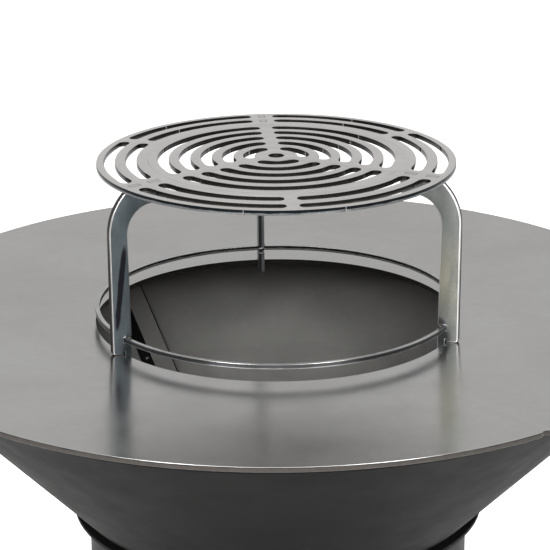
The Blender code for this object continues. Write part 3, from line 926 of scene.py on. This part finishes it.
def on_wall(along, across, lift):
    """A point on the bowl's inner wall: up from its floor, round from the bar's middle, off the wall."""
    slope = atan2(BOWL_TOP - BOWL_LOW, BOWL_IN_TOP - BOWL_IN_LOW)
    apex = BOWL_IN_LOW / cos(slope)
    reach = hypot(apex + along, across)
    turn = LAP_ANGLE - atan2(across, apex + along) / cos(slope) * 180 / pi
    radius = reach * cos(slope) - lift * sin(slope)
    return Vector((*polar(radius, turn), BOWL_LOW + (reach - apex) * sin(slope) + lift * cos(slope)))


def lap_side(bm, proud, clear):
    """One side of the lap, as rows of points up the wall; proud is its stand-off along the cut edge."""
    length = hypot(BOWL_TOP - BOWL_LOW, BOWL_IN_TOP - BOWL_IN_LOW)
    rows = []
    for k in range(LAP_COLUMNS + 1):
        t = k / LAP_COLUMNS
        across = LAP_OFF + LAP_WIDTH * t**2
        lift = clear + proud * (1.0 - t) ** 2
        tall = length - LAP_SHORT - LAP_FALL * t**2 - LAP_FROM
        ups = [LAP_FROM + tall * m / LAP_ROWS for m in range(LAP_ROWS + 1)]
        rows.append([bm.verts.new(on_wall(up, across, lift)) for up in ups])
    return rows


def bowl_lap(inside, edge):
    """The sheet's end, a little proud along its cut edge and easing back to the wall beyond it."""
    bm = bmesh.new()
    low = lap_side(bm, 0.0, LAP_CLEAR)
    high = lap_side(bm, LAP_PROUD, 2.0 * LAP_CLEAR)
    for rows in (low, high):
        for first, second in zip(rows, rows[1:]):
            for m in range(LAP_ROWS):
                bm.faces.new((first[m], first[m + 1], second[m + 1], second[m]))
    borders = (
        (low[0], high[0]),
        (low[-1], high[-1]),
        ([row[0] for row in low], [row[0] for row in high]),
        ([row[-1] for row in low], [row[-1] for row in high]),
    )
    for number, (under, over) in enumerate(borders):
        for m in range(len(under) - 1):
            wall = bm.faces.new((under[m], under[m + 1], over[m + 1], over[m]))
            # The cut edge takes the near-black paint: dark scale and partly painted shade along the seam
            # line.
            wall.material_index = 1 if number == 0 else 0
    bmesh.ops.recalc_face_normals(bm, faces=bm.faces)
    for face in bm.faces:
        face.smooth = True
    mesh = mesh_from(bm, "bowl_lap")
    mesh.set_sharp_from_angle(angle=SHARP)
    piece = stand_piece("bowl_lap", mesh, (inside, edge))
    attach(piece, "base")


# ---------------------------------------------------------------- studio

CAMERA_PLACE = Vector((-0.0030, -2.6040, 0.9315 + PLATE_Z))
CAMERA_DOWN = 18.636         # degrees below the horizon
CAMERA_ROLL = -0.295
CAMERA_LENS = 143.64
CAMERA_SHIFT = (0.0012, 0.0010)


def camera():
    data = bpy.data.cameras.new("camera")
    data.sensor_width = 36.0
    data.lens = CAMERA_LENS
    data.shift_x, data.shift_y = CAMERA_SHIFT
    data.clip_start, data.clip_end = 0.05, 100.0
    seen = bpy.data.objects.new("camera", data)
    bpy.context.scene.collection.objects.link(seen)
    tilt = radians(CAMERA_DOWN)
    back = Vector((0.0, -cos(tilt), sin(tilt)))
    right = Vector((1.0, 0.0, 0.0))
    up = back.cross(right)
    roll = radians(CAMERA_ROLL)
    x = right * cos(roll) + up * sin(roll)
    y = up * cos(roll) - right * sin(roll)
    place = Matrix((x, y, back)).transposed().to_4x4()
    place.translation = CAMERA_PLACE
    seen.matrix_world = place
    bpy.context.scene.camera = seen


def softbox(name, centre, target, size, radiance):
    """A rectangular soft light, hidden from the camera, given by the brightness of its face."""
    data = bpy.data.lights.new(name, "AREA")
    data.shape = "RECTANGLE"
    data.size, data.size_y = size
    data.energy = radiance * pi * size[0] * size[1]
    lamp = bpy.data.objects.new(name, data)
    bpy.context.scene.collection.objects.link(lamp)
    lamp.location = centre
    lamp.rotation_euler = (Vector(target) - Vector(centre)).to_track_quat("-Z", "Y").to_euler()
    lamp.visible_camera = False
    return lamp


ROOM = 0.42                  # brightness of the room in front of the pit
BACKDROP = 0.90              # brightness of the white backdrop behind it
ROOM_TO = -0.45              # the room fills the directions with a Y below this
BACKDROP_FROM = 0.15         # and the backdrop those with a Y above this


def surroundings():
    """What lights the pit from all round; the camera itself sees plain white."""
    world = bpy.data.worlds.new("studio")
    bpy.context.scene.world = world
    world.use_nodes = True
    tree = world.node_tree
    lit = tree.nodes["Background"]
    lit.inputs["Color"].default_value = (1.0, 1.0, 1.0, 1.0)
    toward = tree.nodes.new("ShaderNodeSeparateXYZ")
    tree.links.new(tree.nodes.new("ShaderNodeTexCoord").outputs["Generated"], toward.inputs[0])
    fall = tree.nodes.new("ShaderNodeMapRange")
    tree.links.new(toward.outputs["Y"], fall.inputs["Value"])
    fall.inputs["From Min"].default_value = ROOM_TO
    fall.inputs["From Max"].default_value = BACKDROP_FROM
    fall.inputs["To Min"].default_value = ROOM
    fall.inputs["To Max"].default_value = BACKDROP
    tree.links.new(fall.outputs["Result"], lit.inputs["Strength"])
    seen = tree.nodes.new("ShaderNodeBackground")
    seen.inputs["Color"].default_value = (1.0, 1.0, 1.0, 1.0)
    path = tree.nodes.new("ShaderNodeLightPath")
    both = tree.nodes.new("ShaderNodeMixShader")
    tree.links.new(path.outputs["Is Camera Ray"], both.inputs[0])
    tree.links.new(lit.outputs[0], both.inputs[1])
    tree.links.new(seen.outputs[0], both.inputs[2])
    tree.links.new(both.outputs[0], tree.nodes["World Output"].inputs["Surface"])


def softboxes():
    """Soft lights above, in front and to both sides, and one over the floor behind, never mirrored."""
    softbox("overhead", (0.0, 0.3, 4.6), (0.0, 0.3, 0.0), (5.0, 5.0), 0.9)
    for side, name in ((-1.0, "left"), (1.0, "right")):
        softbox(f"front_{name}", (side * 1.25, -2.05, 3.0), (0.0, -0.2, 1.0), (0.6, 1.9), 19.0)
        softbox(f"high_{name}", (side * 0.95, -0.9, 3.75), (0.0, -0.2, 1.0), (0.6, 1.4), 18.0)
    softbox("front", (0.0, -3.6, 2.9), (0.0, 0.3, 0.9), (2.0, 1.2), 7.0)
    behind = softbox("backdrop", (0.0, 5.0, 4.8), (0.0, 5.0, 0.0), (9.0, 9.0), 1.3)
    behind.visible_glossy = False


def studio():
    """A white backdrop behind, a darker room in front, softboxes and a pale floor."""
    surroundings()
    softboxes()
    floor_mesh = bpy.data.meshes.new("floor")
    bm = bmesh.new()
    bmesh.ops.create_circle(bm, cap_ends=True, radius=24.0, segments=128)
    bm.to_mesh(floor_mesh)
    bm.free()
    floor = stand_piece("floor", floor_mesh, (pale_floor(),))
    bpy.context.scene.view_settings.view_transform = "Standard"


# ---------------------------------------------------------------- assembly


def paint_nodes(nodes, made):
    for node in nodes:
        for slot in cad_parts[node].material_slots:
            slot.material = made


def numbered(stem, count):
    return [f"{stem}_{i}" for i in range(1, count + 1)]


camera()
studio()

plate_top = rolled_steel("plate_steel", (0.308, 0.301, 0.291), (0.350, 0.347, 0.343), 0.17, 0.24)
plate_wall = cut_edge("plate_cut", level_in_dish, (0.020, 0.022, 0.026), (0.085, 0.077, 0.071), 0.80)
grate_top = rolled_steel(
    "grate_steel", (0.41, 0.40, 0.388), (0.47, 0.457, 0.445), 0.26, 0.34, scribe=SCRIBE_R,
)
grate_level = level_between(GRATE_LOW, GRATE_TOP)
grate_rim = cut_edge("grate_cut", grate_level, (0.014, 0.017, 0.020), (0.19, 0.195, 0.20), 0.42)
grate_slots = cut_edge("slot_cut", grate_level, (0.028, 0.027, 0.026), (0.16, 0.157, 0.15), 0.30, 0.25)
entry_mark = rolled_steel("entry_mark", (0.36, 0.36, 0.355), (0.46, 0.46, 0.455), 0.32, 0.42)
tab_top = rolled_steel("dressed_tab", (0.30, 0.285, 0.265), (0.42, 0.405, 0.385), 0.30, 0.42)
ring_top = turned_steel("ring_steel", (0.26, 0.26, 0.26), (0.36, 0.36, 0.356), 0.24)
ring_level = level_between(RING_LOW, RING_TOP)
ring_outer = cut_edge(
    "ring_outer_cut", ring_level, (0.085, 0.086, 0.090), (0.38, 0.385, 0.39), 0.2, roughness=0.32,
)
ring_inner = cut_edge("ring_inner_cut", ring_level, (0.045, 0.045, 0.046), (0.62, 0.62, 0.61), 0.5)
left_edge = cut_edge("leg_cut_left", across_leg(1.0), (0.05, 0.048, 0.046), (0.56, 0.55, 0.54), 0.20)
right_edge = cut_edge(
    "leg_cut_right", across_leg(-1.0), (0.05, 0.048, 0.046), (0.95, 0.95, 0.94), 0.37, roughness=0.5,
)
rear_edge = cut_edge("leg_cut_rear", across_leg(-1.0), (0.115, 0.115, 0.12), (0.54, 0.56, 0.58), 0.48)
weld_point = ((LEG_IN_FOOT + 0.003, -LEG_STEEL / 2, 0.022), 0.010)
plain_leg = mill_steel("leg_steel", (0.20, 0.21, 0.215), (0.29, 0.30, 0.30), [weld_point])
left_leg = mill_steel(
    "leg_steel_left", (0.120, 0.143, 0.157), (0.180, 0.210, 0.228), [weld_point],
    streak=((0.2376, 0.031), (0.2236, 0.136), 0.0046),
)
right_leg = mill_steel(
    "leg_steel_right", (0.20, 0.21, 0.205), (0.28, 0.29, 0.28), [weld_point],
    tint=((0.42, 0.405, 0.33), 0.02, 0.14),
)
metal = weld_metal()
bowl_paint = painted("bowl_paint", (0.0070, 0.0069, 0.0068), 0.66, 1.4, 700.0, 0.2, 0.07)
bowl_inside = bowl_steel()
# Near-black matt paint for the strap over the bowl's joint and for the lap's cut edge: partly the strap's
# black and partly painted shade, standing for the shade in the joint's gap and along the seam line.
near_black_and_shade = painted("strap_black_and_shade", (0.0030, 0.0030, 0.0034), 0.80, 1.5, 400.0, 0.2, 0.08)
coat = painted("pedestal_coat", (0.0110, 0.0110, 0.0114), 0.60, 1.3, 900.0, 0.3, 0.12)
zinc_plate = zinc("zinc_plate", (0.42, 0.43, 0.44), (0.62, 0.62, 0.61))
sooty_zinc = zinc("sooty_zinc", (0.18, 0.18, 0.18), (0.34, 0.34, 0.335))

griddle_plate(plate_top, plate_wall)
grate(grate_top, grate_rim, grate_slots, entry_mark)
leg("leg_rear", "leg_back", LEG_ANGLES["leg_back"], plain_leg, rear_edge)
leg("leg_near_left", "leg_left", LEG_ANGLES["leg_left"], left_leg, left_edge)
leg("leg_near_right", "leg_right", LEG_ANGLES["leg_right"], right_leg, right_edge)
for node, angle in LEG_ANGLES.items():
    for number, middle in enumerate(TAB_MIDDLES):
        tab(f"tab_{node[4:]}_{number + 1}", middle, angle, tab_top, grate_slots)
ring(ring_top, ring_outer, ring_inner)
ring_welds(metal)
bowl_shell(bowl_paint, bowl_inside)
bowl_lap(bowl_inside, near_black_and_shade)

paint_nodes(["bowl_rim", "bowl_floor"], bowl_paint)
paint_nodes(["seam_strap"], near_black_and_shade)
paint_nodes([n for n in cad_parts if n.startswith("strap_screw")], sooty_zinc)
paint_nodes(["pedestal_top", "pedestal_shell", "base_ring"], coat)
paint_nodes(numbered("plate_lug", 3), plain_leg)
for stem in ("bowl_bolt", "bowl_nut", "bowl_washer", "foot_nut", "levelling_foot"):
    paint_nodes(numbered(stem, 4), zinc_plate)
paint_nodes(numbered("foot_pad", 4), rubber())
